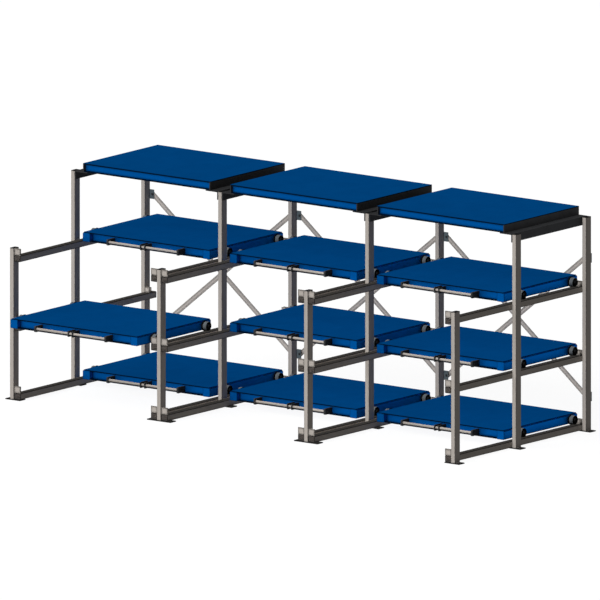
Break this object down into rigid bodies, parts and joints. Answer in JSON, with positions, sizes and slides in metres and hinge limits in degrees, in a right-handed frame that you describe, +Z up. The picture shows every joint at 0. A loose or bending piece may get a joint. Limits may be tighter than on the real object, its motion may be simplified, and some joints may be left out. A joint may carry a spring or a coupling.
{
  "type": "mold storage rack",
  "caption": "Heavy mold storage rack: frames of rectangular tube, roll-out trays with pull handles that run on rails, fixed top shelves and crossed braces at the back.",
  "frame": {"origin": "on the floor, in the middle of the rectangle of the four corner anchor holes", "axes": "+X along the rack, +Y to the rear, +Z up"},
  "size_m": [5.708, 2.5142, 2.268],
  "materials": {
    "tube_steel": "satin mill finish",
    "black_cap": "matt",
    "dark_steel": "satin",
    "blue_paint": "satin",
    "deck_paint": "satin",
    "gusset_steel": "satin",
    "bolt_steel": "dark zinc",
    "handle_steel": "satin",
    "wheel_steel": "turned"
  },
  "bodies": {
    "rack": {"front_posts": "tube_steel", "middle_posts": "tube_steel", "rear_posts": "tube_steel", "post_caps": "black_cap", "base_plates": "tube_steel", "runner_rails": "tube_steel", "front_stops": "tube_steel", "rear_stops": "tube_steel", "shelf_angles": "dark_steel", "shelf_sides": "dark_steel", "shelf_channels": "blue_paint", "shelf_decks": "deck_paint", "brace_gussets": "gusset_steel", "back_braces": "tube_steel", "brace_bolts": "bolt_steel"},
    "left_lower_tray": {"left_lower_deck": "deck_paint", "left_lower_frame": "blue_paint", "left_lower_handle": "handle_steel"},
    "left_lower_front_wheelset": {"left_lower_front_wheels": "wheel_steel"},
    "left_lower_rear_wheelset": {"left_lower_rear_wheels": "wheel_steel"},
    "left_middle_tray": {"left_middle_deck": "deck_paint", "left_middle_frame": "blue_paint", "left_middle_handle": "handle_steel"},
    "left_middle_front_wheelset": {"left_middle_front_wheels": "wheel_steel"},
    "left_middle_rear_wheelset": {"left_middle_rear_wheels": "wheel_steel"},
    "left_upper_tray": {"left_upper_deck": "deck_paint", "left_upper_frame": "blue_paint", "left_upper_handle": "handle_steel"},
    "left_upper_front_wheelset": {"left_upper_front_wheels": "wheel_steel"},
    "left_upper_rear_wheelset": {"left_upper_rear_wheels": "wheel_steel"},
    "centre_lower_tray": {"centre_lower_deck": "deck_paint", "centre_lower_frame": "blue_paint", "centre_lower_handle": "handle_steel"},
    "centre_lower_front_wheelset": {"centre_lower_front_wheels": "wheel_steel"},
    "centre_lower_rear_wheelset": {"centre_lower_rear_wheels": "wheel_steel"},
    "centre_middle_tray": {"centre_middle_deck": "deck_paint", "centre_middle_frame": "blue_paint", "centre_middle_handle": "handle_steel"},
    "centre_middle_front_wheelset": {"centre_middle_front_wheels": "wheel_steel"},
    "centre_middle_rear_wheelset": {"centre_middle_rear_wheels": "wheel_steel"},
    "centre_upper_tray": {"centre_upper_deck": "deck_paint", "centre_upper_frame": "blue_paint", "centre_upper_handle": "handle_steel"},
    "centre_upper_front_wheelset": {"centre_upper_front_wheels": "wheel_steel"},
    "centre_upper_rear_wheelset": {"centre_upper_rear_wheels": "wheel_steel"},
    "right_lower_tray": {"right_lower_deck": "deck_paint", "right_lower_frame": "blue_paint", "right_lower_handle": "handle_steel"},
    "right_lower_front_wheelset": {"right_lower_front_wheels": "wheel_steel"},
    "right_lower_rear_wheelset": {"right_lower_rear_wheels": "wheel_steel"},
    "right_middle_tray": {"right_middle_deck": "deck_paint", "right_middle_frame": "blue_paint", "right_middle_handle": "handle_steel"},
    "right_middle_front_wheelset": {"right_middle_front_wheels": "wheel_steel"},
    "right_middle_rear_wheelset": {"right_middle_rear_wheels": "wheel_steel"},
    "right_upper_tray": {"right_upper_deck": "deck_paint", "right_upper_frame": "blue_paint", "right_upper_handle": "handle_steel"},
    "right_upper_front_wheelset": {"right_upper_front_wheels": "wheel_steel"},
    "right_upper_rear_wheelset": {"right_upper_rear_wheels": "wheel_steel"}
  },
  "joints": [
    {"name": "left_lower_slide", "type": "slide", "parent": "rack", "child": "left_lower_tray", "axis": [0, -1, 0], "range_m": [0, 1.185]},
    {"name": "left_lower_front_roll", "type": "hinge", "parent": "left_lower_tray", "child": "left_lower_front_wheelset", "pos_m": [-1.85, 0.13, 0.1203], "axis": [1, 0, 0], "continuous": true},
    {"name": "left_lower_rear_roll", "type": "hinge", "parent": "left_lower_tray", "child": "left_lower_rear_wheelset", "pos_m": [-1.85, 0.968, 0.1203], "axis": [1, 0, 0], "continuous": true},
    {"name": "left_middle_slide", "type": "slide", "parent": "rack", "child": "left_middle_tray", "axis": [0, -1, 0], "range_m": [-1.185, 0]},
    {"name": "left_middle_front_roll", "type": "hinge", "parent": "left_middle_tray", "child": "left_middle_front_wheelset", "pos_m": [-1.85, -1.055, 0.8203], "axis": [1, 0, 0], "continuous": true},
    {"name": "left_middle_rear_roll", "type": "hinge", "parent": "left_middle_tray", "child": "left_middle_rear_wheelset", "pos_m": [-1.85, -0.217, 0.8203], "axis": [1, 0, 0], "continuous": true},
    {"name": "left_upper_slide", "type": "slide", "parent": "rack", "child": "left_upper_tray", "axis": [0, -1, 0], "range_m": [0, 1.185]},
    {"name": "left_upper_front_roll", "type": "hinge", "parent": "left_upper_tray", "child": "left_upper_front_wheelset", "pos_m": [-1.85, 0.13, 1.5203], "axis": [1, 0, 0], "continuous": true},
    {"name": "left_upper_rear_roll", "type": "hinge", "parent": "left_upper_tray", "child": "left_upper_rear_wheelset", "pos_m": [-1.85, 0.968, 1.5203], "axis": [1, 0, 0], "continuous": true},
    {"name": "centre_lower_slide", "type": "slide", "parent": "rack", "child": "centre_lower_tray", "axis": [0, -1, 0], "range_m": [0, 1.185]},
    {"name": "centre_lower_front_roll", "type": "hinge", "parent": "centre_lower_tray", "child": "centre_lower_front_wheelset", "pos_m": [0, 0.13, 0.1203], "axis": [1, 0, 0], "continuous": true},
    {"name": "centre_lower_rear_roll", "type": "hinge", "parent": "centre_lower_tray", "child": "centre_lower_rear_wheelset", "pos_m": [0, 0.968, 0.1203], "axis": [1, 0, 0], "continuous": true},
    {"name": "centre_middle_slide", "type": "slide", "parent": "rack", "child": "centre_middle_tray", "axis": [0, -1, 0], "range_m": [0, 1.185]},
    {"name": "centre_middle_front_roll", "type": "hinge", "parent": "centre_middle_tray", "child": "centre_middle_front_wheelset", "pos_m": [0, 0.13, 0.8203], "axis": [1, 0, 0], "continuous": true},
    {"name": "centre_middle_rear_roll", "type": "hinge", "parent": "centre_middle_tray", "child": "centre_middle_rear_wheelset", "pos_m": [0, 0.968, 0.8203], "axis": [1, 0, 0], "continuous": true},
    {"name": "centre_upper_slide", "type": "slide", "parent": "rack", "child": "centre_upper_tray", "axis": [0, -1, 0], "range_m": [0, 1.185]},
    {"name": "centre_upper_front_roll", "type": "hinge", "parent": "centre_upper_tray", "child": "centre_upper_front_wheelset", "pos_m": [0, 0.13, 1.5203], "axis": [1, 0, 0], "continuous": true},
    {"name": "centre_upper_rear_roll", "type": "hinge", "parent": "centre_upper_tray", "child": "centre_upper_rear_wheelset", "pos_m": [0, 0.968, 1.5203], "axis": [1, 0, 0], "continuous": true},
    {"name": "right_lower_slide", "type": "slide", "parent": "rack", "child": "right_lower_tray", "axis": [0, -1, 0], "range_m": [0, 1.185]},
    {"name": "right_lower_front_roll", "type": "hinge", "parent": "right_lower_tray", "child": "right_lower_front_wheelset", "pos_m": [1.85, 0.13, 0.1203], "axis": [1, 0, 0], "continuous": true},
    {"name": "right_lower_rear_roll", "type": "hinge", "parent": "right_lower_tray", "child": "right_lower_rear_wheelset", "pos_m": [1.85, 0.968, 0.1203], "axis": [1, 0, 0], "continuous": true},
    {"name": "right_middle_slide", "type": "slide", "parent": "rack", "child": "right_middle_tray", "axis": [0, -1, 0], "range_m": [0, 1.185]},
    {"name": "right_middle_front_roll", "type": "hinge", "parent": "right_middle_tray", "child": "right_middle_front_wheelset", "pos_m": [1.85, 0.13, 0.8203], "axis": [1, 0, 0], "continuous": true},
    {"name": "right_middle_rear_roll", "type": "hinge", "parent": "right_middle_tray", "child": "right_middle_rear_wheelset", "pos_m": [1.85, 0.968, 0.8203], "axis": [1, 0, 0], "continuous": true},
    {"name": "right_upper_slide", "type": "slide", "parent": "rack", "child": "right_upper_tray", "axis": [0, -1, 0], "range_m": [0, 1.185]},
    {"name": "right_upper_front_roll", "type": "hinge", "parent": "right_upper_tray", "child": "right_upper_front_wheelset", "pos_m": [1.85, 0.13, 1.5203], "axis": [1, 0, 0], "continuous": true},
    {"name": "right_upper_rear_roll", "type": "hinge", "parent": "right_upper_tray", "child": "right_upper_rear_wheelset", "pos_m": [1.85, 0.968, 1.5203], "axis": [1, 0, 0], "continuous": true}
  ],
  "couplings": [
    {"joint": "left_lower_front_roll", "follows": "left_lower_slide", "rad_per_m": 22.222},
    {"joint": "left_lower_rear_roll", "follows": "left_lower_slide", "rad_per_m": 22.222},
    {"joint": "left_middle_front_roll", "follows": "left_middle_slide", "rad_per_m": 22.222},
    {"joint": "left_middle_rear_roll", "follows": "left_middle_slide", "rad_per_m": 22.222},
    {"joint": "left_upper_front_roll", "follows": "left_upper_slide", "rad_per_m": 22.222},
    {"joint": "left_upper_rear_roll", "follows": "left_upper_slide", "rad_per_m": 22.222},
    {"joint": "centre_lower_front_roll", "follows": "centre_lower_slide", "rad_per_m": 22.222},
    {"joint": "centre_lower_rear_roll", "follows": "centre_lower_slide", "rad_per_m": 22.222},
    {"joint": "centre_middle_front_roll", "follows": "centre_middle_slide", "rad_per_m": 22.222},
    {"joint": "centre_middle_rear_roll", "follows": "centre_middle_slide", "rad_per_m": 22.222},
    {"joint": "centre_upper_front_roll", "follows": "centre_upper_slide", "rad_per_m": 22.222},
    {"joint": "centre_upper_rear_roll", "follows": "centre_upper_slide", "rad_per_m": 22.222},
    {"joint": "right_lower_front_roll", "follows": "right_lower_slide", "rad_per_m": 22.222},
    {"joint": "right_lower_rear_roll", "follows": "right_lower_slide", "rad_per_m": 22.222},
    {"joint": "right_middle_front_roll", "follows": "right_middle_slide", "rad_per_m": 22.222},
    {"joint": "right_middle_rear_roll", "follows": "right_middle_slide", "rad_per_m": 22.222},
    {"joint": "right_upper_front_roll", "follows": "right_upper_slide", "rad_per_m": 22.222},
    {"joint": "right_upper_rear_roll", "follows": "right_upper_slide", "rad_per_m": 22.222}
  ]
}
